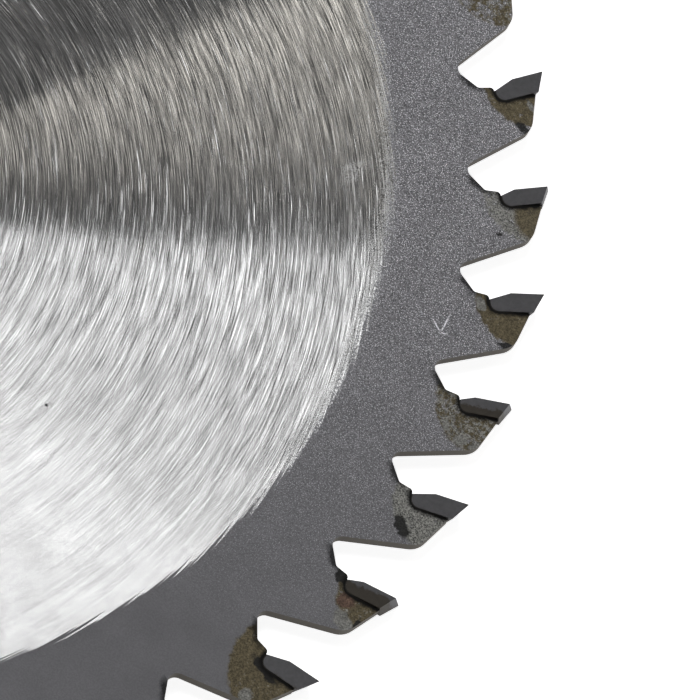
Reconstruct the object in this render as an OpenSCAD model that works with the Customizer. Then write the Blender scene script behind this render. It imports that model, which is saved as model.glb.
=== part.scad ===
// Carbide-tipped circular saw blade: a steel plate, a brazed tip on every tooth, and the braze.
// The blade lies flat. +Z runs along the arbor, and the origin is the bore's centre at mid-thickness.
// Teeth are drawn in a tooth frame: X is radial through the cutting corner, +Y is the way it cuts.

/* [Blade] */
// Diameter over the cutting corners
blade_d = 190; // [184:1:240]
// Number of teeth
teeth = 40; // [28:2:42]
// Thickness of the steel plate
plate_t = 1.3; // [1:0.1:1.5]
// Diameter of the arbor bore
bore_d = 30; // [16:0.1:40]
// Chamfer that breaks both edges of the bore
bore_break = 0.15; // [0.05:0.05:0.3]

/* [Carbide tips] */
// Width of the cut, over the tips' side corners
kerf = 2; // [1.8:0.1:2.8]
// Length of a tip along its rake face, from the cutting corner to its inner end
tip_l = 6.5; // [5.5:0.1:7.5]
// Thickness of a tip, square to its rake face
tip_w = 2.2; // [1.8:0.1:2.6]
// Length of the straight rake face, before the nose slopes back
face_l = 4.4; // [3.6:0.1:5]
// Depth of the nose's slope at the inner end
nose_d = 0.73; // [0.4:0.01:0.9]
// Radius of the inner end, where the tip turns into its back
tip_round = 1; // [0.7:0.1:1.3]
// Hook angle of the rake face
hook = 13; // [8:0.5:18]
// Relief angle of the outer end
tip_relief = 17; // [12:0.5:20]
// Top bevel of the outer end, left and right in turn
top_bevel = 14; // [5:1:18]
// Bevel of the rake face, which lets the high corner lead
face_bevel = 10; // [0:1:12]
// Side clearance towards the blade's centre
radial_clearance = 1.5; // [0.5:0.1:2]
// Side clearance towards the tip's back
back_clearance = 3; // [1:0.1:4]

/* [Seat and braze] */
// Thickness of the braze between tip and seat
braze_t = 0.12; // [0.08:0.01:0.2]
// Depth of the braze below the land behind the tip
braze_recess = 0.25; // [0.1:0.05:0.5]

/* [Tooth and gullet] */
// Height of the cutting corner above the start of the land
land_drop = 1.2; // [1:0.05:1.5]
// Length of the land, from the seat to the sharp heel
land_l = 5; // [4.4:0.1:5.4]
// Relief angle of the land
land_relief = 14.5; // [10:0.5:18]
// Angle of the tooth's back from the radial line
back_angle = 26.6; // [24:0.2:29]
// Radius of the heel between land and back
heel_round = 2.6; // [1.5:0.1:3.2]
// Depth of the gullet below the cutting corner
gullet_depth = 10.3; // [9.5:0.1:11]
// Radius of the gullet's root
root_round = 1.2; // [0.8:0.1:1.4]
// Length of the shoulder below the seat
shoulder_l = 2; // [1.6:0.1:2.4]
// How far the shoulder stands in front of the tip's nose
shoulder_proud = 0.45; // [0.2:0.05:0.6]
// Radius of the shoulder's outer corner, which forms the notch at the tip's nose
notch_round = 0.5; // [0.3:0.05:0.6]
// Radius between the shoulder and the gullet's front wall
shoulder_round = 0.6; // [0.3:0.1:0.8]

/* [Hidden] */
$fn = 48;
rim_fn = 240;
pitch = 360 / teeth;
tip_r = blade_d / 2;
// Cutters run this far past what they cut
over = 2;
// Rounds run this far past the flats that they meet
lap = 0.002;

function tip_name(i) = str("tip_", i < 10 ? "0" : "", i);

// Plane geometry
function unit(a) = a / norm(a);
function turned(p, angle) = [p.x * cos(angle) - p.y * sin(angle), p.x * sin(angle) + p.y * cos(angle)];
function half_angle(a, v, b) = acos(unit(a - v) * unit(b - v)) / 2;
// Centre of a round of radius r in the corner a-v-b, and the point where it meets the side to b
function round_centre(a, v, b, r) = v + unit(unit(a - v) + unit(b - v)) * r / sin(half_angle(a, v, b));
function round_end(a, v, b, r) = v + unit(b - v) * r / tan(half_angle(a, v, b));
// Point where a line from p touches the circle of radius r about c
function touch(p, c, r) = c + r * unit(turned(p - c, -acos(r / norm(p - c))));

// The tip frame starts at the cutting edge: X runs inwards along the rake face, Y is the depth behind it
tip_turn = 180 + hook;
function from_tip(p) = [tip_r, 0] + turned(p, tip_turn);
// Centre of the tip's round inner end
round_at = [tip_l - tip_round, tip_w - tip_round];
// How far the high corner leads the middle of the cutting edge
corner_lead = kerf / 2 * tan(face_bevel) / cos(hook);
// Carbide left in front of the rake face for its bevel
face_stock = 2 * corner_lead + 0.1;

// Tooth outline in the tooth frame
seat_depth = tip_w + braze_t;
seat_end = tip_l + braze_t;
land_start = from_tip([(land_drop + seat_depth * sin(hook)) / cos(hook), seat_depth]);
land_way = -[sin(land_relief), cos(land_relief)];
heel = land_start + land_l * land_way;
back_way = -[cos(back_angle), sin(back_angle)];
back_normal = [sin(back_angle), -cos(back_angle)];
shoulder_y = from_tip([tip_l, nose_d]).y + shoulder_proud;
shoulder_corner = from_tip([seat_end, -(shoulder_y + seat_end * sin(hook)) / cos(hook)]);
shoulder_foot = [from_tip(round_at).x - tip_round - braze_t - shoulder_l, shoulder_y];

// The gullet lies between a tooth's front and the back of the tooth ahead, one pitch further on
ahead_heel = turned(heel, pitch);
ahead_way = turned(back_way, pitch);
ahead_normal = turned(back_normal, pitch);
root_line = ahead_heel + root_round * ahead_normal;
root_reach = tip_r - gullet_depth + root_round;
root_run = -root_line * ahead_way
    - sqrt(pow(root_line * ahead_way, 2) - root_line * root_line + pow(root_reach, 2));
root_centre = root_line + root_run * ahead_way;
root_end = root_centre - root_round * ahead_normal;
root_start = touch(shoulder_foot, root_centre, root_round);

// Space between two teeth, from a tooth's shoulder to the land of the tooth ahead
module gullet() {
    shoulder_out = [tip_r + over, shoulder_y];
    seat_back = from_tip([seat_end, seat_depth]);
    seat_middle = from_tip([seat_end / 2, seat_depth / 2]);
    land_front = land_start - 2 * braze_t * land_way;
    ahead_land = turned(land_start, pitch);
    notch_start = round_end(shoulder_foot, shoulder_corner, seat_back, notch_round);
    notch_end = round_end(seat_back, shoulder_corner, shoulder_foot, notch_round);
    fillet_start = round_end(root_start, shoulder_foot, shoulder_out, shoulder_round);
    fillet_end = round_end(shoulder_out, shoulder_foot, root_start, shoulder_round);
    heel_start = round_end(ahead_land, ahead_heel, root_end, heel_round);
    heel_end = round_end(root_end, ahead_heel, ahead_land, heel_round);
    difference() {
        union() {
            polygon([
                shoulder_out,
                seat_middle,
                notch_start,
                notch_end,
                fillet_start,
                fillet_end,
                root_start,
                root_end,
                heel_start,
                heel_end,
                turned(land_front, pitch),
                turned(from_tip([-over, seat_depth / 2]), pitch)
            ]);
            translate(round_centre(shoulder_out, shoulder_foot, root_start, shoulder_round))
                circle(shoulder_round + lap);
            translate(root_centre) circle(root_round + lap);
        }
        translate(round_centre(shoulder_foot, shoulder_corner, seat_back, notch_round))
            circle(notch_round + lap);
        translate(round_centre(root_end, ahead_heel, ahead_land, heel_round))
            circle(heel_round + lap);
    }
}

module in_tip_frame() {
    translate([tip_r, 0]) rotate(tip_turn) children();
}

// Side outline of a tip behind a given front, grown at its back and inner end
module tip_body(grow, front) {
    polygon(concat(front, [
        [tip_l + grow, round_at.y],
        [round_at.x, tip_w + grow],
        [front[0].x, tip_w + grow]
    ]));
    translate(round_at)
        intersection() {
            circle(tip_round + grow);
            square(over);
        }
}

// Side outline of a tip before its rake face is ground
module tip_outline() {
    nose_run = (tip_l - face_l) / nose_d;
    tip_body(0, [[-over, -face_stock], [face_l - face_stock * nose_run, -face_stock], [tip_l, nose_d]]);
}

module seat() {
    in_tip_frame() tip_body(braze_t, [[-over, -over], [seat_end, -over]]);
}

// All that lies outside the land near the seat, lowered by a given depth
module above_land(drop) {
    translate(land_start - [drop, 0])
        rotate(-land_relief)
            translate([0, -over]) square(2 * over);
}

module braze_outline() {
    difference() {
        in_tip_frame()
            difference() {
                tip_body(braze_t, [[0, nose_d], [seat_end, nose_d]]);
                tip_outline();
            }
        above_land(braze_recess);
    }
}

module bore_cut() {
    cylinder(h = plate_t + over, d = bore_d, center = true, $fn = rim_fn);
    for (side = [0, 1])
        mirror([0, 0, side])
            translate([0, 0, plate_t / 2 - bore_break])
                cylinder(h = 2 * bore_break, d1 = bore_d, d2 = bore_d + 4 * bore_break, $fn = rim_fn);
}

module plate() {
    color([0.52, 0.52, 0.53])
        difference() {
            linear_extrude(plate_t, center = true)
                difference() {
                    circle(tip_r, $fn = rim_fn);
                    for (i = [1 : teeth])
                        rotate((i - 1) * pitch) {
                            gullet();
                            seat();
                        }
                }
            bore_cut();
        }
}

module braze() {
    color([0.45, 0.4, 0.28])
        for (i = [1 : teeth])
            rotate((i - 1) * pitch)
                linear_extrude(plate_t, center = true) braze_outline();
}

// Waste above the upper side of a tip, which leaves the side clearance
module side_waste(lead) {
    translate([tip_r, lead, kerf / 2])
        rotate([back_clearance, -radial_clearance, 0])
            translate([-2 * tip_l, -2 * tip_l, 0])
                cube([4 * tip_l, 4 * tip_l, kerf]);
}

// Waste outside the ground outer end, whose high corner is on the given side
module end_waste(side) {
    translate([tip_r, corner_lead, side * kerf / 2])
        rotate([0, 0, -tip_relief])
            rotate([0, side * top_bevel, 0])
                translate([0, -2 * tip_l, -2 * tip_l])
                    cube([2 * tip_l, 4 * tip_l, 4 * tip_l]);
}

// Waste in front of the ground rake face, which leads on the given side
module face_waste(side) {
    translate([tip_r, 0, 0])
        rotate([0, 0, hook])
            rotate([-side * face_bevel, 0, 0])
                translate([-2 * tip_l, 0, -2 * tip_l])
                    cube([4 * tip_l, 2 * tip_l, 4 * tip_l]);
}

module tip(i) {
    high_side = i % 2 == 1 ? 1 : -1;
    color([0.28, 0.28, 0.29])
        rotate((i - 1) * pitch)
            difference() {
                linear_extrude(kerf, center = true) in_tip_frame() tip_outline();
                side_waste(high_side * corner_lead);
                mirror([0, 0, 1]) side_waste(-high_side * corner_lead);
                end_waste(high_side);
                face_waste(high_side);
            }
}

plate();
braze();
for (i = [1 : teeth]) tip(i);
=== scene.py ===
"""Finishes and stages a carbide-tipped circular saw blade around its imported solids."""

import math
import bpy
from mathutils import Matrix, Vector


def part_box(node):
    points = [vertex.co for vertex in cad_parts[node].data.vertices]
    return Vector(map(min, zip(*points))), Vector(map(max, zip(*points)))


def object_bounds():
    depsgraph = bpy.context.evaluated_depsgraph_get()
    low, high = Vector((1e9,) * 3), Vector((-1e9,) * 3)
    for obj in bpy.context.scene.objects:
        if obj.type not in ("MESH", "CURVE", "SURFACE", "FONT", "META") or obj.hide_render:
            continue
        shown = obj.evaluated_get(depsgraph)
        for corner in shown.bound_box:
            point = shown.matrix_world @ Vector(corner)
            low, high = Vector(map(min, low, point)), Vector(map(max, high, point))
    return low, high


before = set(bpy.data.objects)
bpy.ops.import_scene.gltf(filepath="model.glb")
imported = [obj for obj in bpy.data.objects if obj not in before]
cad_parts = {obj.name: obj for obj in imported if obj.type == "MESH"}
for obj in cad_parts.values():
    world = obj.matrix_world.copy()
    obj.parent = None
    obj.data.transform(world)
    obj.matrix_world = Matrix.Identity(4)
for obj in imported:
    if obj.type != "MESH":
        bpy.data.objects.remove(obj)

from types import SimpleNamespace

import bmesh
import bpy
from mathutils import Matrix, Vector

CAD_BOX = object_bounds()

bl_info = {
    "name": "Carbide-tipped saw blade finishes",
    "version": (1, 0, 0),
    "blender": (4, 5, 0),
    "location": "3D View > Sidebar > Saw blade",
    "description": "Ground and blasted steel, carbide tips, braze and a plain studio for a saw blade",
    "category": "Material",
}

MM = 0.001
TEETH = sum(name.startswith("tip_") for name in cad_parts)
PITCH = math.tau / TEETH
BLADE_RADIUS = max(CAD_BOX[1])
FACE_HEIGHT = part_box("plate")[1].z
FLOOR_HEIGHT = CAD_BOX[0].z
FLOOR_HALF_WIDTH = 6

# Hook angle, thickness and length of a tip, and the radius of its inner end, in mm
HOOK = math.radians(13)
TIP_DEPTH, TIP_LENGTH, TIP_ROUND = 2.2, 6.5, 1.0

# Marks and dimples grow coarser from the first to the second of these places along Y, in mm.
FINE_SIDE, COARSE_SIDE = -32, 26
# How far grooves lie off the radial line in mm, at the centre, and what that loses for each mm outwards
TUCK, TUCK_LOSS = 16.2, -0.204
# Sizes of cloudy patches in the steel, and of ragged edges, mottling and flecks in burnt flux, in mm
CLOUD, RAGGED, MOTTLE, FLECK = 6, 0.9, 1.1, 0.45
# Sizes of the grain in carbide and in braze, in mm
CARBIDE_GRAIN, BRAZE_GRAIN = 0.5, 0.4
# The noise of the blasting dimples keeps mostly between these levels.
DIMPLE_LOW, DIMPLE_HIGH = 0.36, 0.64

# Teeth are counted from +X. For each: reach of the burn in cm, shares of burnt flux and of bared steel
# on the tooth, and share of flux on the tip. The others vary by chance.
FIRST_BURN = -2
BURNS = (
    (0.78, 0.95, 0.05, 0.1),
    (0.50, 0.95, 0.2, 0.75),
    (0.63, 0.1, 0.85, 0),
    (0.70, 0.75, 0.45, 0.55),
    (0.59, 1, 0.05, 0),
    (0.64, 0.15, 0.7, 0),
    (0.54, 0.95, 0.1, 0),
)
# Middle of the burn on a tooth, along and behind the rake face, in mm
BURN_MIDDLE = (2.5, 1.2, 0)
# Spots: tooth, centre and half sizes along and behind the rake face in mm, turn in degrees, finish
SPOTS = (
    (4, (2.9, 3.8), (0.45, 1.0), 15, "bared"),
    (4, (5.0, 6.3), (1.4, 0.45), 120, "soot_and_shadow"),
    (3, (3.4, 4.4), (2.3, 2.9), 10, "stain"),
    (3, (8.1, 5.6), (0.35, 0.35), 0, "soot_and_shadow"),
    (2, (7.7, 1.4), (0.5, 1.0), 10, "bared"),
    (2, (4.8, 6.8), (1.2, 0.4), 165, "soot_and_shadow"),
    (1, (6.1, 5.9), (1.0, 0.7), 30, "bared"),
    (1, (3.9, 6.5), (1.1, 0.5), 0, "bared"),
    (1, (7.9, 4.4), (0.5, 0.9), 0, "bared"),
    (0, (6.8, 5.2), (1.65, 0.78), 121, "soot_and_shadow"),
    (-1, (7.4, 0.7), (0.8, 0.9), 0, "soot_and_shadow"),
    (-1, (5.6, 3.2), (1.1, 1.0), 0, "rust"),
    (-1, (5.1, 5.7), (1.4, 1.0), 140, "bared"),
    (-1, (3.4, 5.3), (0.5, 0.7), 0, "soot_and_shadow"),
    (-2, (5.7, 2.5), (2.2, 0.7), 160, "soot_and_shadow"),
    (-2, (5.8, 6.5), (0.8, 0.9), 0, "bared"),
)
# A dark strip on the front edge of every gullet, given in the same way but for the tooth and the finish
GULLET_DARK_EDGE = ((8.9, -1.0), (2.1, 0.75), 130)
# A scratch on the blasted ring, as strokes: middle in mm, half length in mm, turn in degrees
SCRATCH = (
    ((81.33, 18.62), 1.03, -35),
    ((82.10, 19.48), 1.45, -87),
    ((82.52, 18.20), 0.39, 25),
)
SCRATCH_HALF_WIDTH = 0.12
# A scuff and a pit on the ground disc: middle, half sizes in mm, turn in degrees
SCUFF = ((63.9, 30.2), (2.2, 1.3), 100)
PIT = ((47.98, -16.62), (0.22, 0.22), 0)

# Lamps: name, place from the point they face, way of the first side, size in m, power in W, colour
LAMP_AIM = Vector((0.045, 0.005, 0))
COOL, WARM = (0.97, 0.985, 1), (1, 0.96, 0.88)
LAMPS = (
    ("key", (-1.095, 1.189, 0.999), (-0.790, -0.261, -0.555), (1.28, 1.45), 25, COOL),
    ("fill", (-0.494, 1.350, 1.242), (-0.869, 0.122, -0.479), (0.47, 0.80), 2.5, COOL),
    ("strip", (0.712, 1.633, 0.661), (0.206, 0.288, -0.935), (1.33, 0.45), 2.1, WARM),
    ("strip edge", (0.589, 1.685, 0.650), (0.206, 0.288, -0.935), (1.32, 0.18), 0.7, WARM),
)

MATH = "ShaderNodeMath"
VECTOR = "ShaderNodeVectorMath"
NOISE = "ShaderNodeTexNoise"
WHITE_NOISE = "ShaderNodeTexWhiteNoise"
MIX = "ShaderNodeMix"
RANGE = "ShaderNodeMapRange"
COMBINE = "ShaderNodeCombineXYZ"
SEPARATE = "ShaderNodeSeparateXYZ"
MAPPING = "ShaderNodeMapping"
PLACE = "ShaderNodeTexCoord"
BUMP = "ShaderNodeBump"


def linear(hex_colour):
    """The linear RGBA of an sRGB colour written as six hex digits."""
    parts = [int(hex_colour[i:i + 2], 16) / 255 for i in (0, 2, 4)]
    return (*[p / 12.92 if p <= 0.04045 else ((p + 0.055) / 1.055) ** 2.4 for p in parts], 1.0)


def add(tree, kind, inputs=(), out=0, **settings):
    """Adds a node, sets its settings, sets or links its inputs, and gives one of its outputs."""
    node = tree.nodes.new(kind)
    for name, value in settings.items():
        setattr(node, name, value)
    for key, value in dict(inputs).items():
        if isinstance(value, bpy.types.NodeSocket):
            tree.links.new(value, node.inputs[key])
        else:
            node.inputs[key].default_value = value
    return node.outputs[out]


def new_material(name):
    """An empty node material and its tree."""
    material = bpy.data.materials.new(name)
    material.use_nodes = True
    material.node_tree.nodes.clear()
    return material, material.node_tree


def finish_material(tree, inputs):
    """Ends a material with one Principled shader."""
    shader = add(tree, "ShaderNodeBsdfPrincipled", inputs)
    output = tree.nodes.new("ShaderNodeOutputMaterial")
    tree.links.new(shader, output.inputs["Surface"])


def dress(node_name, material):
    """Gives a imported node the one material."""
    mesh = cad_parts[node_name].data
    mesh.materials.clear()
    mesh.materials.append(material)


def oval(tree, where, centre, half, turn):
    """How far each place lies from an oval's centre: one on its rim."""
    there = add(tree, MAPPING, {
        "Vector": where, "Location": (*centre, 0), "Rotation": (0, 0, math.radians(turn)),
        "Scale": (*half, 1)}, vector_type="TEXTURE")
    return add(tree, VECTOR, {0: there}, out="Value", operation="LENGTH")


def tooth_frame(tree, flat):
    """The tooth that each place belongs to, and the place in mm along and behind its rake face."""
    axes = add(tree, SEPARATE, {0: flat}).node.outputs
    angle = add(tree, MATH, {0: axes["Y"], 1: axes["X"]}, operation="ARCTAN2")
    number = add(tree, MATH, {0: angle, 1: 1 / PITCH}, operation="MULTIPLY")
    number = add(tree, MATH, {0: number}, operation="CEIL")
    back = add(tree, MATH, {0: number, 1: -PITCH}, operation="MULTIPLY")
    turned = add(tree, "ShaderNodeVectorRotate", {"Vector": flat, "Angle": back}, rotation_type="Z_AXIS")
    seat = add(tree, MAPPING, {
        "Vector": turned, "Location": (BLADE_RADIUS / MM, 0, 0), "Rotation": (0, 0, math.pi + HOOK)},
        vector_type="TEXTURE")
    return number, seat


def burn_of(tree, number):
    """The row of BURNS for each tooth, as a colour and an alpha."""
    count = len(BURNS)
    first = (0.5 - FIRST_BURN) / count
    step = add(tree, MATH, {0: number, 1: 1 / count, 2: first}, operation="MULTIPLY_ADD")
    ramp = add(tree, "ShaderNodeValToRGB", {"Fac": step}).node
    ramp.color_ramp.interpolation = "CONSTANT"
    stops = ramp.color_ramp.elements
    stops[1].position = 1 / count
    for i in range(2, count):
        stops.new(i / count)
    for stop, row in zip(stops, BURNS):
        stop.color = row
    chance = add(tree, WHITE_NOISE, {"W": number}, out="Color", noise_dimensions="1D")
    chance = add(
        tree, VECTOR, {0: chance, 1: (0.28, 0.6, 0.5), 2: (0.5, 0.4, 0)}, operation="MULTIPLY_ADD")
    middle = FIRST_BURN + (count - 1) / 2
    known = add(tree, MATH, {0: number, 1: middle, 2: count / 2}, operation="COMPARE")
    row = add(tree, MIX, {0: known, 6: chance, 7: ramp.outputs["Color"]}, out=2, data_type="RGBA")
    creep = add(tree, MATH, {0: known, 1: ramp.outputs["Alpha"]}, operation="MULTIPLY")
    return add(tree, "ShaderNodeSeparateColor", {0: row}).node.outputs, creep


def share_of(tree, noise, share):
    """Patches of a noise that cover about the given share."""
    level = add(tree, MATH, {0: share, 1: -0.44, 2: 0.72}, operation="MULTIPLY_ADD")
    low = add(tree, MATH, {0: level, 1: -0.06}, operation="ADD")
    high = add(tree, MATH, {0: level, 1: 0.06}, operation="ADD")
    return add(tree, RANGE, {0: noise, 1: low, 2: high})


class PlateSettings(bpy.types.PropertyGroup):
    """Finish of the steel plate."""

    ground_radius: bpy.props.FloatProperty(
        name="Ground radius", description="Radius of the ground disc", default=75.1 * MM,
        unit="LENGTH")
    groove_base: bpy.props.FloatProperty(
        name="Groove base radius", description="Radius of the circle that the grooves unwind from",
        default=9.4 * MM, unit="LENGTH")
    groove_width: bpy.props.FloatProperty(
        name="Groove width", description="Width of one grinding mark, coarse enough to show",
        default=0.08 * MM, unit="LENGTH")
    groove_length: bpy.props.FloatProperty(
        name="Groove length", description="Length of one grinding mark", default=4.5 * MM, unit="LENGTH")
    grit: bpy.props.FloatProperty(
        name="Grit", description="Size of a blasting dimple, coarse enough to show", default=0.2 * MM,
        unit="LENGTH")
    ground_colour: bpy.props.FloatVectorProperty(
        name="Ground steel", description="Colour of the ground disc", subtype="COLOR", size=4,
        default=linear("C6C5C4"), min=0, max=1)
    blasted_colour: bpy.props.FloatVectorProperty(
        name="Blasted steel", description="Colour of the blasted ring", subtype="COLOR", size=4,
        default=linear("7F7E81"), min=0, max=1)
    wall_colour: bpy.props.FloatVectorProperty(
        name="Cut walls", description="Colour of the sawn and laser-cut walls", subtype="COLOR", size=4,
        default=linear("645F57"), min=0, max=1)
    stain_colour: bpy.props.FloatVectorProperty(
        name="Flux stain", description="Colour of the burnt flux on the teeth", subtype="COLOR", size=4,
        default=linear("675D46"), min=0, max=1)
    bared_colour: bpy.props.FloatVectorProperty(
        name="Bared steel", description="Colour of steel scraped clean of flux", subtype="COLOR", size=4,
        default=linear("868580"), min=0, max=1)
    # This colour also paints the shadow beside each tip's edge, in the seam along the seats.
    soot_and_shadow_colour: bpy.props.FloatVectorProperty(
        name="Soot", description="Colour of the seam along the seats", subtype="COLOR", size=4,
        default=linear("1A1918"), min=0, max=1)
    rust_colour: bpy.props.FloatVectorProperty(
        name="Rust", description="Colour of scorched, reddened steel", subtype="COLOR", size=4,
        default=linear("6C5447"), min=0, max=1)


class TipSettings(bpy.types.PropertyGroup):
    """Finish of the tips and of the braze under them."""

    carbide_colour: bpy.props.FloatVectorProperty(
        name="Carbide", description="Colour of the ground carbide", subtype="COLOR", size=4,
        default=linear("5E5D5F"), min=0, max=1)
    flux_colour: bpy.props.FloatVectorProperty(
        name="Flux", description="Colour of the burnt flux on a tip", subtype="COLOR", size=4,
        default=linear("3C352A"), min=0, max=1)
    braze_colour: bpy.props.FloatVectorProperty(
        name="Braze", description="Colour of the tarnished braze", subtype="COLOR", size=4,
        default=linear("28241F"), min=0, max=1)


class StudioSettings(bpy.types.PropertyGroup):
    """Camera and floor."""

    focal_length: bpy.props.FloatProperty(
        name="Focal length", description="Lens on a 36 mm sensor, in millimetres", default=334.3)
    elevation: bpy.props.FloatProperty(
        name="Elevation", description="Height of the camera above the horizon",
        default=math.radians(59.92), subtype="ANGLE")
    azimuth: bpy.props.FloatProperty(
        name="Azimuth", description="Turn of the camera round the blade", default=math.radians(0.62),
        subtype="ANGLE")
    roll: bpy.props.FloatProperty(
        name="Roll", description="Turn of the camera about its own axis", default=math.radians(30.28),
        subtype="ANGLE")
    camera_offset: bpy.props.FloatVectorProperty(
        name="Camera offset", description="Camera from the blade's centre, along the camera's own axes",
        default=(0.06829, -0.030407, 0.74422), subtype="TRANSLATION", unit="LENGTH")
    floor_colour: bpy.props.FloatVectorProperty(
        name="Floor", description="Colour of the floor", subtype="COLOR", size=4,
        default=linear("F4F4F4"), min=0, max=1)


def plate_places(tree, settings):
    """What all finishes of the plate read: places in mm, and the noises of dimples and clouds."""
    place = add(tree, PLACE, out="Object")
    place = add(tree, VECTOR, {0: place, "Scale": 1 / MM}, operation="SCALE")
    flat = add(tree, VECTOR, {0: place, 1: (1, 1, 0)}, operation="MULTIPLY")
    axes = add(tree, SEPARATE, {0: place}).node.outputs
    height = add(tree, MATH, {0: axes["Z"]}, operation="ABSOLUTE")
    # Real dimples are under a tenth of a millimetre, and are drawn coarser to show.
    grit = settings.grit / MM
    cloud = add(tree, NOISE, {"Vector": place, "Scale": 1 / CLOUD, "Detail": 3, "Roughness": 0.6})
    return SimpleNamespace(
        place=place,
        flat=flat,
        radius=add(tree, VECTOR, {0: flat}, out="Value", operation="LENGTH"),
        angle=add(tree, MATH, {0: axes["Y"], 1: axes["X"]}, operation="ARCTAN2"),
        on_face=add(tree, MATH, {0: height, 1: FACE_HEIGHT / MM - 0.01}, operation="GREATER_THAN"),
        side=add(tree, RANGE, {0: axes["Y"], 1: FINE_SIDE, 2: COARSE_SIDE, 3: 0, 4: 1}),
        coarse=add(tree, RANGE, {0: axes["Y"], 1: FINE_SIDE, 2: COARSE_SIDE, 3: 0.05, 4: 1}),
        dimple=add(tree, NOISE, {"Vector": place, "Scale": 1 / grit, "Detail": 2, "Roughness": 0.7}),
        glint_noise=add(tree, NOISE, {"Vector": place, "Scale": 1.6 / grit, "Detail": 0}),
        cloud=cloud,
        cloud_tone=add(tree, RANGE, {0: cloud, 1: 0.3, 2: 0.7, 3: 0.9, 4: 1.06}),
    )


def groove_marks(tree, at, settings):
    """Noises drawn out along the grinding grooves, and how far each place is along its groove's string.

    Grooves are involutes of the base circle, so the angle at which each one starts tells them apart.
    """
    base = settings.groove_base / MM
    square = add(tree, MATH, {0: at.radius, 1: 2}, operation="POWER")
    reach = add(tree, MATH, {0: square, 1: -base * base}, operation="ADD")
    reach = add(tree, MATH, {0: reach, 1: 0.01}, operation="MAXIMUM")
    string = add(tree, MATH, {0: reach}, operation="SQRT")
    unwound = add(tree, MATH, {0: string, 1: 1 / base}, operation="MULTIPLY")
    turned = add(tree, MATH, {0: unwound}, operation="ARCTANGENT")
    start = add(tree, MATH, {0: at.angle, 1: unwound}, operation="ADD")
    start = add(tree, MATH, {0: start, 1: turned}, operation="SUBTRACT")
    along = add(tree, MATH, {0: reach, 1: 0.5 / base}, operation="MULTIPLY")
    cosine = add(tree, MATH, {0: start}, operation="COSINE")
    sine = add(tree, MATH, {0: start}, operation="SINE")
    ring = add(tree, COMBINE, {0: cosine, 1: sine})

    def marks(width, length, shift, **detail):
        """Noise from the width and length of one mark in mm."""
        round_base = add(tree, VECTOR, {0: ring, "Scale": base / width}, operation="SCALE")
        up_groove = add(tree, MATH, {0: along, 1: 1 / length, 2: shift}, operation="MULTIPLY_ADD")
        where = add(tree, COMBINE, {2: up_groove})
        where = add(tree, VECTOR, {0: round_base, 1: where}, operation="ADD")
        return add(tree, NOISE, {"Vector": where, "Scale": 1, **detail})

    # Real marks are a few hundredths of a millimetre wide, and are drawn coarser to show. The finest ones
    # here stay too fine to show, and only spread the shine.
    width = settings.groove_width / MM
    length = settings.groove_length / MM
    return SimpleNamespace(
        string=string,
        fine=marks(width, length, 0, Detail=1, Roughness=0.6),
        broad=marks(6 * width, 3 * length, 31.7, Detail=2, Roughness=0.5),
        wander=marks(0.8 * width, 1.5 * length, 77.1, Detail=0),
        depth=marks(width, length, 55.3, Detail=0),
        hair=marks(1.7 * width, 2.5 * length, 12.9, Detail=0),
        finest=marks(0.2 * width, length, 48.5, Detail=0),
        feathering=marks(3 * width, 2 * length, 90.3, Detail=1),
    )


def ground_area(tree, at, marks, settings):
    """Where the plate is ground, and where its marks are broken up, at the rim and in a scuff.

    The edge is feathered by single marks. On the coarse side dimples break it up.
    """
    speckle = add(tree, MATH, {0: at.dimple, 1: -0.59}, operation="ADD")
    speckle = add(tree, MATH, {0: speckle, 1: at.side}, operation="MULTIPLY")
    feather = add(tree, MATH, {0: marks.feathering, 1: 2.4, 2: -1.2}, operation="MULTIPLY_ADD")
    feather = add(tree, MATH, {0: speckle, 1: 4.5, 2: feather}, operation="MULTIPLY_ADD")
    edge = add(tree, MATH, {0: at.radius, 1: feather}, operation="ADD")
    limit = settings.ground_radius / MM
    ground = add(tree, RANGE, {0: edge, 1: limit - 0.1, 2: limit + 0.1, 3: 1, 4: 0})
    ground = add(tree, MATH, {0: ground, 1: at.on_face}, operation="MULTIPLY")

    rim = add(tree, RANGE, {0: edge, 1: limit - 1.2, 2: limit - 0.6, 3: 0, 4: 0.9})
    rim = add(tree, MATH, {0: rim, 1: at.side}, operation="MULTIPLY")
    away = oval(tree, at.flat, *SCUFF)
    away = add(tree, MATH, {0: at.cloud, 1: 4, 2: away}, operation="MULTIPLY_ADD")
    away = add(tree, MATH, {0: at.dimple, 1: 3, 2: away}, operation="MULTIPLY_ADD")
    scuff = add(tree, RANGE, {0: away, 1: 3.8, 2: 5.0, 3: 0.9, 4: 0})
    grains = add(tree, RANGE, {0: at.dimple, 1: 0.42, 2: 0.58, 3: 0, 4: 1})
    worn = add(tree, MATH, {0: rim, 1: scuff}, operation="MAXIMUM")
    worn = add(tree, MATH, {0: worn, 1: grains}, operation="MULTIPLY")
    return ground, worn


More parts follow.
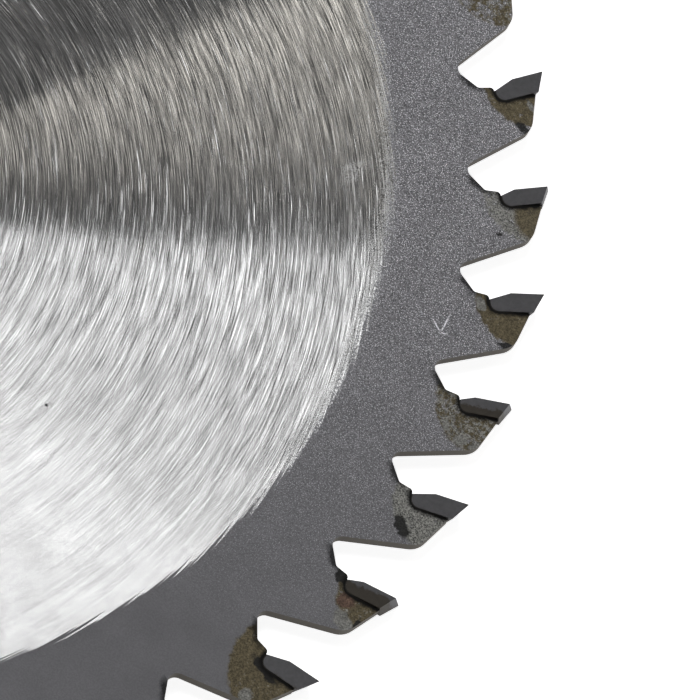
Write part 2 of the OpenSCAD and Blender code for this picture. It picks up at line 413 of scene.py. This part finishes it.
def groove_shine(tree, at, marks, ground):
    """The way across the grooves, and normals that lean that way, so the shine spreads across them.

    Each mark lies a little off the next, and grooves further out lie closer to the circle.
    """
    tuck = add(tree, MATH, {0: at.radius, 1: TUCK_LOSS, 2: TUCK}, operation="MULTIPLY_ADD")
    stray = add(tree, MATH, {0: marks.wander, 1: -0.5}, operation="ADD")
    stray = add(tree, MATH, {0: stray, 1: 5}, operation="POWER")
    stray = add(tree, MATH, {0: stray, 1: at.coarse}, operation="MULTIPLY")
    swing = add(tree, MATH, {0: stray, 1: 12000, 2: tuck}, operation="MULTIPLY_ADD")
    aside = add(tree, VECTOR, {0: (0, 0, 1), 1: at.flat}, operation="CROSS_PRODUCT")
    aside = add(tree, VECTOR, {0: aside, "Scale": swing}, operation="SCALE")
    outward = add(tree, VECTOR, {0: at.flat, "Scale": marks.string}, operation="SCALE")
    across = add(tree, VECTOR, {0: aside, 1: outward}, operation="ADD")
    across = add(tree, VECTOR, {0: across}, operation="NORMALIZE")

    # Marks lean to one side or the other, in streaks on the coarse side and as a haze on the fine side.
    haze = add(tree, WHITE_NOISE, {"Vector": at.place}, noise_dimensions="3D")
    haze = add(tree, MATH, {0: haze, 1: 0.4, 2: 0.3}, operation="MULTIPLY_ADD")
    spread = add(tree, MIX, {0: at.coarse, 2: haze, 3: marks.finest})
    spread = add(tree, MATH, {0: spread, 1: 3, 2: -1.5}, operation="MULTIPLY_ADD")
    lean = add(tree, MATH, {0: marks.fine, 1: -0.5}, operation="ADD")
    lean = add(tree, MATH, {0: lean, 1: at.coarse}, operation="MULTIPLY")
    lean = add(tree, MATH, {0: lean, 1: 0.7, 2: spread}, operation="MULTIPLY_ADD")
    lean = add(tree, MATH, {0: lean, 1: ground}, operation="MULTIPLY")
    lean = add(tree, VECTOR, {0: across, "Scale": lean}, operation="SCALE")
    normal = add(tree, "ShaderNodeNewGeometry", out="Normal")
    normal = add(tree, VECTOR, {0: normal, 1: lean}, operation="ADD")
    return across, add(tree, VECTOR, {0: normal}, operation="NORMALIZE")


def ground_finish(tree, at, marks, worn, settings):
    """Colour and roughness of the ground disc.

    Deep marks scatter more than the rest, so they stay bright where the disc is dark. Their colour is also
    made lighter, more so on the coarse side, a painted highlight.
    """
    deep = add(tree, RANGE, {0: marks.depth, 1: 0.58, 2: 0.7, 3: 0, 4: 1})
    deep = add(tree, MATH, {0: deep, 1: at.coarse}, operation="MULTIPLY")
    rough = add(tree, MATH, {0: deep, 1: 0.13, 2: 0.15}, operation="MULTIPLY_ADD")
    rough = add(tree, MATH, {0: worn, 1: 0.35, 2: rough}, operation="MULTIPLY_ADD")

    harsh = add(tree, MATH, {0: at.coarse, 1: 2}, operation="POWER")
    low = add(tree, MATH, {0: harsh, 1: -0.3, 2: 0.87}, operation="MULTIPLY_ADD")
    high = add(tree, MATH, {0: harsh, 1: 0.26, 2: 0.945}, operation="MULTIPLY_ADD")
    cut = add(tree, MIX, {0: at.coarse, 2: marks.hair, 3: marks.fine})
    tone = add(tree, RANGE, {0: cut, 1: 0.4, 2: 0.6, 3: low, 4: high})
    # Painted highlight: deep marks are made lighter in the colour, more so on the coarse side.
    painted_streak_highlight = add(tree, MATH, {0: deep, 1: harsh}, operation="MULTIPLY")
    tone = add(tree, MATH, {0: painted_streak_highlight, 1: 0.5, 2: tone}, operation="MULTIPLY_ADD")
    broad_tone = add(tree, RANGE, {0: marks.broad, 1: 0.3, 2: 0.7, 3: 0.93, 4: 1.0})
    away = oval(tree, at.flat, *PIT)
    pit = add(tree, RANGE, {0: away, 1: 0.6, 2: 1.1, 3: 0.15, 4: 1})
    for shade in (broad_tone, at.cloud_tone, pit):
        tone = add(tree, MATH, {0: tone, 1: shade}, operation="MULTIPLY")
    colour = add(tree, VECTOR, {0: settings.ground_colour[:3], "Scale": tone}, operation="SCALE")
    return colour, rough


def blasted_finish(tree, at, settings):
    """Colour of the blasted ring: dimples, a few of which carry painted glints, and a broken scratch whose
    strokes are also a painted highlight.
    """
    low = add(tree, MATH, {0: at.side, 1: -0.34, 2: 0.83}, operation="MULTIPLY_ADD")
    high = add(tree, MATH, {0: at.side, 1: 0.6, 2: 1.01}, operation="MULTIPLY_ADD")
    tone = add(tree, RANGE, {0: at.dimple, 1: DIMPLE_LOW, 2: DIMPLE_HIGH, 3: low, 4: high})
    tone = add(tree, MATH, {0: tone, 1: at.cloud_tone}, operation="MULTIPLY")
    # Painted glints: a few flecks are made far lighter in the colour, more so towards +Y.
    painted_glint = add(tree, RANGE, {0: at.glint_noise, 1: 0.64, 2: 0.72, 3: 0, 4: 3.6})
    painted_glint = add(tree, MATH, {0: painted_glint, 1: at.side}, operation="MULTIPLY")
    tone = add(tree, MATH, {0: tone, 1: painted_glint}, operation="ADD")
    # The scratch is real wear, and its strokes are also painted much lighter than bare steel, a painted
    # highlight.
    for middle, half_length, turn in SCRATCH:
        away = oval(tree, at.flat, middle, (half_length, SCRATCH_HALF_WIDTH), turn)
        away = add(tree, MATH, {0: at.dimple, 1: 2.5, 2: away}, operation="MULTIPLY_ADD")
        scratch_and_sheen = add(tree, RANGE, {0: away, 1: 1.7, 2: 2.3, 3: 3.5, 4: 0})
        tone = add(tree, MATH, {0: tone, 1: scratch_and_sheen}, operation="ADD")
    return add(tree, VECTOR, {0: settings.blasted_colour[:3], "Scale": tone}, operation="SCALE")


def burnt_finish(tree, at, colour, settings):
    """Burnt flux, bared steel, soot and painted shadow over the ring's colour, and how dark each place is
    from soot and painted shadow.
    """
    number, seat = tooth_frame(tree, at.flat)
    row, _ = burn_of(tree, number)
    ragged = add(
        tree, NOISE, {"Vector": at.place, "Scale": 1 / RAGGED, "Detail": 3, "Roughness": 0.6}, out="Color")
    ragged = add(
        tree, VECTOR, {0: ragged, 1: (1.2, 1.2, 0), 2: (-0.6, -0.6, 0)}, operation="MULTIPLY_ADD")
    ragged = add(tree, VECTOR, {0: seat, 1: ragged}, operation="ADD")
    mottle = add(tree, NOISE, {"Vector": at.place, "Scale": 1 / MOTTLE, "Detail": 4, "Roughness": 0.65})
    fleck = add(tree, NOISE, {"Vector": at.place, "Scale": 1 / FLECK, "Detail": 3, "Roughness": 0.7})

    # The flux ends in a ragged arc. In places the steel is bared again.
    away = add(tree, VECTOR, {0: ragged, 1: BURN_MIDDLE}, out="Value", operation="DISTANCE")
    away = add(tree, MATH, {0: row["Red"], 1: -10, 2: away}, operation="MULTIPLY_ADD")
    stain = add(tree, RANGE, {0: away, 1: -0.3, 2: 0.05, 3: 1, 4: 0})
    flux_tone = add(tree, RANGE, {0: fleck, 1: 0.3, 2: 0.7, 3: 0.6, 4: 1.35})
    speck = add(tree, RANGE, {0: at.dimple, 1: DIMPLE_LOW, 2: DIMPLE_HIGH, 3: 0.6, 4: 1.4})
    flux_tone = add(tree, MATH, {0: flux_tone, 1: speck}, operation="MULTIPLY")
    bared_tone = add(tree, RANGE, {0: at.dimple, 1: DIMPLE_LOW, 2: DIMPLE_HIGH, 3: 0.25, 4: 1.85})
    layers = (
        (mottle, row["Green"], settings.stain_colour, flux_tone),
        (fleck, row["Blue"], settings.bared_colour, bared_tone),
    )
    for noise, share, paint, tone in layers:
        patch = share_of(tree, noise, share)
        patch = add(tree, MATH, {0: patch, 1: stain}, operation="MULTIPLY")
        tint = add(tree, VECTOR, {0: paint[:3], "Scale": tone}, operation="SCALE")
        colour = add(tree, MIX, {0: patch, 6: colour, 7: tint}, out=2, data_type="RGBA")
    for tooth, centre, half, turn, finish in SPOTS:
        away = oval(tree, ragged, centre, half, turn)
        spot = add(tree, RANGE, {0: away, 1: 0.8, 2: 1.1, 3: 0.95, 4: 0})
        here = add(tree, MATH, {0: number, 1: tooth, 2: 0.1}, operation="COMPARE")
        spot = add(tree, MATH, {0: spot, 1: here}, operation="MULTIPLY")
        paint = getattr(settings, finish + "_colour")
        tint = add(tree, VECTOR, {0: paint[:3], "Scale": flux_tone}, operation="SCALE")
        colour = add(tree, MIX, {0: spot, 6: colour, 7: tint}, out=2, data_type="RGBA")

    # Braze and soot run along the seat as a black seam, which also holds a painted shadow beside each
    # tip's edge, and a dark strip runs along the gullet's front edge.
    round_middle = (TIP_ROUND - TIP_LENGTH, TIP_ROUND - TIP_DEPTH, 0)
    gap = add(tree, VECTOR, {0: seat, 1: round_middle}, operation="ADD")
    gap = add(tree, VECTOR, {0: gap, 1: (0, 0, 0)}, operation="MAXIMUM")
    gap = add(tree, VECTOR, {0: gap}, out="Value", operation="LENGTH")
    gap = add(tree, MATH, {0: mottle, 1: -0.8, 2: gap}, operation="MULTIPLY_ADD")
    seam = add(tree, RANGE, {0: gap, 1: 0.9, 2: 1.4, 3: 1, 4: 0})
    away = oval(tree, ragged, *GULLET_DARK_EDGE)
    front = add(tree, RANGE, {0: away, 1: 0.5, 2: 1.2, 3: 0.85, 4: 0})
    soot_and_shadow = add(tree, MATH, {0: seam, 1: front}, operation="MAXIMUM")
    colour = add(tree, MIX, {0: soot_and_shadow, 6: colour, 7: settings.soot_and_shadow_colour}, out=2, data_type="RGBA")
    return colour, soot_and_shadow


def plate_steel(settings):
    """Saw steel: a ground disc inside a blasted ring, with bare cut walls.

    Grinding leaves grooves that unwind from a small circle, so the disc flashes in bands that turn with
    the light. Blasting leaves a dull grey with a fine sparkle. Walls are darker and rougher.
    """
    material, tree = new_material("Saw steel, ground disc and blasted ring")
    at = plate_places(tree, settings)
    marks = groove_marks(tree, at, settings)
    ground, worn = ground_area(tree, at, marks, settings)
    across, tilted = groove_shine(tree, at, marks, ground)
    ground_colour, ground_rough = ground_finish(tree, at, marks, worn, settings)
    colour = blasted_finish(tree, at, settings)
    colour, soot_and_shadow = burnt_finish(tree, at, colour, settings)

    colour = add(tree, MIX, {0: ground, 6: colour, 7: ground_colour}, out=2, data_type="RGBA")
    colour = add(tree, MIX, {0: at.on_face, 6: settings.wall_colour, 7: colour}, out=2, data_type="RGBA")
    metal = add(tree, MATH, {0: ground, 1: 0.55, 2: 0.45}, operation="MULTIPLY_ADD")
    rough = add(tree, MIX, {0: ground, 2: 0.62, 3: ground_rough})
    brushed = add(tree, MATH, {0: 1.0, 1: worn}, operation="SUBTRACT")
    brushed = add(tree, MATH, {0: brushed, 1: ground}, operation="MULTIPLY")
    shine = add(tree, RANGE, {0: soot_and_shadow, 3: 0.5, 4: 0.1})
    pitted = add(tree, MATH, {0: at.side, 1: 0.8, 2: 0.2}, operation="MULTIPLY_ADD")
    pitted = add(tree, MATH, {0: pitted, 1: at.dimple}, operation="MULTIPLY")
    relief = add(tree, MIX, {0: ground, 2: pitted, 3: 0})
    normal = add(tree, BUMP, {"Height": relief, "Strength": 0.5, "Distance": 0.03 * MM, "Normal": tilted})
    finish_material(tree, {
        "Base Color": colour, "Metallic": metal, "Roughness": rough, "Anisotropic": brushed,
        "Tangent": across, "Normal": normal, "Specular IOR Level": shine})
    return material


def carbide(settings):
    """Tungsten carbide, diamond ground: a smooth charcoal with faint pits and a dull shine.

    Its real grain is a few thousandths of a millimetre, and is drawn coarser to show.
    """
    material, tree = new_material("Tungsten carbide, ground")
    place = add(tree, PLACE, out="Object")
    place = add(tree, VECTOR, {0: place, "Scale": 1 / MM}, operation="SCALE")
    grain = add(tree, NOISE, {"Vector": place, "Scale": 1 / CARBIDE_GRAIN, "Detail": 4, "Roughness": 0.6})
    tone = add(tree, RANGE, {0: grain, 1: 0.3, 2: 0.7, 3: 0.85, 4: 1.12})
    colour = add(tree, VECTOR, {0: settings.carbide_colour[:3], "Scale": tone}, operation="SCALE")

    # On a few tips flux creeps up from the seat.
    flat = add(tree, VECTOR, {0: place, 1: (1, 1, 0)}, operation="MULTIPLY")
    number, seat = tooth_frame(tree, flat)
    _, creep = burn_of(tree, number)
    mottle = add(tree, NOISE, {"Vector": place, "Scale": 1 / MOTTLE, "Detail": 4, "Roughness": 0.65})
    depth = add(tree, SEPARATE, {0: seat}, out="Y")
    depth = add(tree, MATH, {0: depth, 1: 1 / TIP_DEPTH, 2: creep}, operation="MULTIPLY_ADD")
    depth = add(tree, MATH, {0: mottle, 1: 0.9, 2: depth}, operation="MULTIPLY_ADD")
    flux = add(tree, RANGE, {0: depth, 1: 1.5, 2: 1.65, 3: 0, 4: 0.9})
    flux_colour = add(tree, VECTOR, {0: settings.flux_colour[:3], "Scale": tone}, operation="SCALE")
    colour = add(tree, MIX, {0: flux, 6: colour, 7: flux_colour}, out=2, data_type="RGBA")
    rough = add(tree, RANGE, {0: grain, 1: 0.3, 2: 0.7, 3: 0.42, 4: 0.55})
    normal = add(tree, BUMP, {"Height": grain, "Strength": 0.2, "Distance": 0.02 * MM})
    finish_material(tree, {
        "Base Color": colour, "Metallic": 0.35, "Roughness": rough, "Normal": normal})
    return material


def tarnished_braze(settings):
    """Silver braze, tarnished by the torch: a dark brown line with a dull shine."""
    material, tree = new_material("Silver braze, tarnished")
    place = add(tree, PLACE, out="Object")
    grain = add(tree, NOISE, {"Vector": place, "Scale": 1 / (BRAZE_GRAIN * MM), "Detail": 3})
    tone = add(tree, RANGE, {0: grain, 1: 0.3, 2: 0.7, 3: 0.6, 4: 1.3})
    colour = add(tree, VECTOR, {0: settings.braze_colour[:3], "Scale": tone}, operation="SCALE")
    finish_material(tree, {"Base Color": colour, "Metallic": 0.5, "Roughness": 0.55})
    return material


class SAWBLADE_OT_plate(bpy.types.Operator):
    """Finishes the steel plate"""

    bl_idname = "sawblade.plate"
    bl_label = "Plate"

    def execute(self, context):
        dress("plate", plate_steel(context.scene.blade_plate))
        return {"FINISHED"}


class SAWBLADE_OT_tips(bpy.types.Operator):
    """Finishes the carbide tips and the braze under them"""

    bl_idname = "sawblade.tips"
    bl_label = "Tips and braze"

    def execute(self, context):
        settings = context.scene.blade_tips
        ground_carbide = carbide(settings)
        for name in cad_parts:
            if name.startswith("tip_"):
                dress(name, ground_carbide)
        dress("braze", tarnished_braze(settings))
        return {"FINISHED"}


def softbox(name, centre, along, size, power, colour):
    """A rectangular lamp at centre that faces the blade, with its first side along a direction."""
    lamp = bpy.data.lights.new(name, "AREA")
    lamp.shape = "RECTANGLE"
    lamp.size, lamp.size_y = size
    lamp.energy = power
    lamp.color = colour
    back = (centre - LAMP_AIM).normalized()
    side = (along - back * along.dot(back)).normalized()
    up = back.cross(side)
    turn = Matrix((side, up, back)).transposed()
    holder = bpy.data.objects.new(name, lamp)
    holder.matrix_world = Matrix.Translation(centre) @ turn.to_4x4()
    bpy.context.scene.collection.objects.link(holder)


class SAWBLADE_OT_stage(bpy.types.Operator):
    """Makes the floor, the studio light and the camera"""

    bl_idname = "sawblade.stage"
    bl_label = "Stage"

    def execute(self, context):
        scene = context.scene
        self.floor(scene, scene.blade_studio)
        self.light(scene)
        self.camera(scene, scene.blade_studio)
        scene.view_settings.view_transform = "Standard"
        return {"FINISHED"}

    def floor(self, scene, settings):
        """A wide pale sheet under the blade, white to the eye, that still takes a shadow."""
        shape = bmesh.new()
        bmesh.ops.create_grid(shape, x_segments=1, y_segments=1, size=FLOOR_HALF_WIDTH)
        bmesh.ops.translate(shape, verts=shape.verts, vec=(0, 0, FLOOR_HEIGHT))
        mesh = bpy.data.meshes.new("floor")
        shape.to_mesh(mesh)
        shape.free()
        material, tree = new_material("Studio floor, matt white paper")
        path = add(tree, "ShaderNodeLightPath").node.outputs
        seen = add(tree, MATH, {0: path["Is Camera Ray"], 1: path["Is Glossy Ray"]}, operation="MAXIMUM")
        seen = add(tree, MATH, {0: seen, 1: path["Is Transmission Ray"]}, operation="MAXIMUM")
        glow = add(tree, MATH, {0: seen, 1: 0.85}, operation="MULTIPLY")
        finish_material(tree, {
            "Base Color": settings.floor_colour, "Roughness": 0.9, "Emission Color": (1, 1, 1, 1),
            "Emission Strength": glow})
        mesh.materials.append(material)
        floor = bpy.data.objects.new("floor", mesh)
        scene.collection.objects.link(floor)

    def light(self, scene):
        """Key and fill softboxes beyond the blade on the left, two strips on the right, a dim dome."""
        for name, place, along, size, power, colour in LAMPS:
            softbox(name, LAMP_AIM + Vector(place), Vector(along), size, power, colour)
        world = bpy.data.worlds.new("studio")
        world.use_nodes = True
        tree = world.node_tree
        tree.nodes.clear()
        way = add(tree, PLACE, out="Generated")
        up = add(tree, SEPARATE, {0: way}, out="Z")
        level = add(tree, RANGE, {0: up, 1: 0.08, 2: 0.2, 3: 1.0, 4: 0.12})
        sky = add(tree, "ShaderNodeBackground", {"Color": (1, 1, 1, 1), "Strength": level})
        output = tree.nodes.new("ShaderNodeOutputWorld")
        tree.links.new(sky, output.inputs["Surface"])
        scene.world = world

    def camera(self, scene, settings):
        """The photograph's view: a long lens, high up, rolled to one side."""
        lens = bpy.data.cameras.new("camera")
        lens.lens = settings.focal_length
        lens.clip_start, lens.clip_end = 0.01, 20
        turn = Matrix.Rotation(settings.azimuth, 3, "Z")
        turn = turn @ Matrix.Rotation(math.pi / 2 - settings.elevation, 3, "X")
        turn = turn @ Matrix.Rotation(settings.roll, 3, "Z")
        holder = bpy.data.objects.new("camera", lens)
        holder.matrix_world = Matrix.Translation(turn @ Vector(settings.camera_offset)) @ turn.to_4x4()
        scene.collection.objects.link(holder)
        scene.camera = holder


class SAWBLADE_PT_panel(bpy.types.Panel):
    """Lists the blade's pieces and their settings"""

    bl_idname = "SAWBLADE_PT_panel"
    bl_label = "Saw blade"
    bl_space_type = "VIEW_3D"
    bl_region_type = "UI"
    bl_category = "Saw blade"

    def draw(self, context):
        for operator, group, _ in PIECES:
            self.layout.operator(operator.bl_idname)
            settings = getattr(context.scene, group)
            for name in settings.__annotations__:
                self.layout.prop(settings, name)


# Each piece's operator, and the name and kind of its settings on the scene
PIECES = (
    (SAWBLADE_OT_plate, "blade_plate", PlateSettings),
    (SAWBLADE_OT_tips, "blade_tips", TipSettings),
    (SAWBLADE_OT_stage, "blade_studio", StudioSettings),
)


def register():
    for operator, name, group in PIECES:
        bpy.utils.register_class(group)
        setattr(bpy.types.Scene, name, bpy.props.PointerProperty(type=group))
        bpy.utils.register_class(operator)
    bpy.utils.register_class(SAWBLADE_PT_panel)


def unregister():
    bpy.utils.unregister_class(SAWBLADE_PT_panel)
    for operator, name, group in PIECES:
        bpy.utils.unregister_class(operator)
        delattr(bpy.types.Scene, name)
        bpy.utils.unregister_class(group)


def main():
    register()
    bpy.ops.sawblade.plate()
    bpy.ops.sawblade.tips()
    bpy.ops.sawblade.stage()


if __name__ == "__main__":
    main()
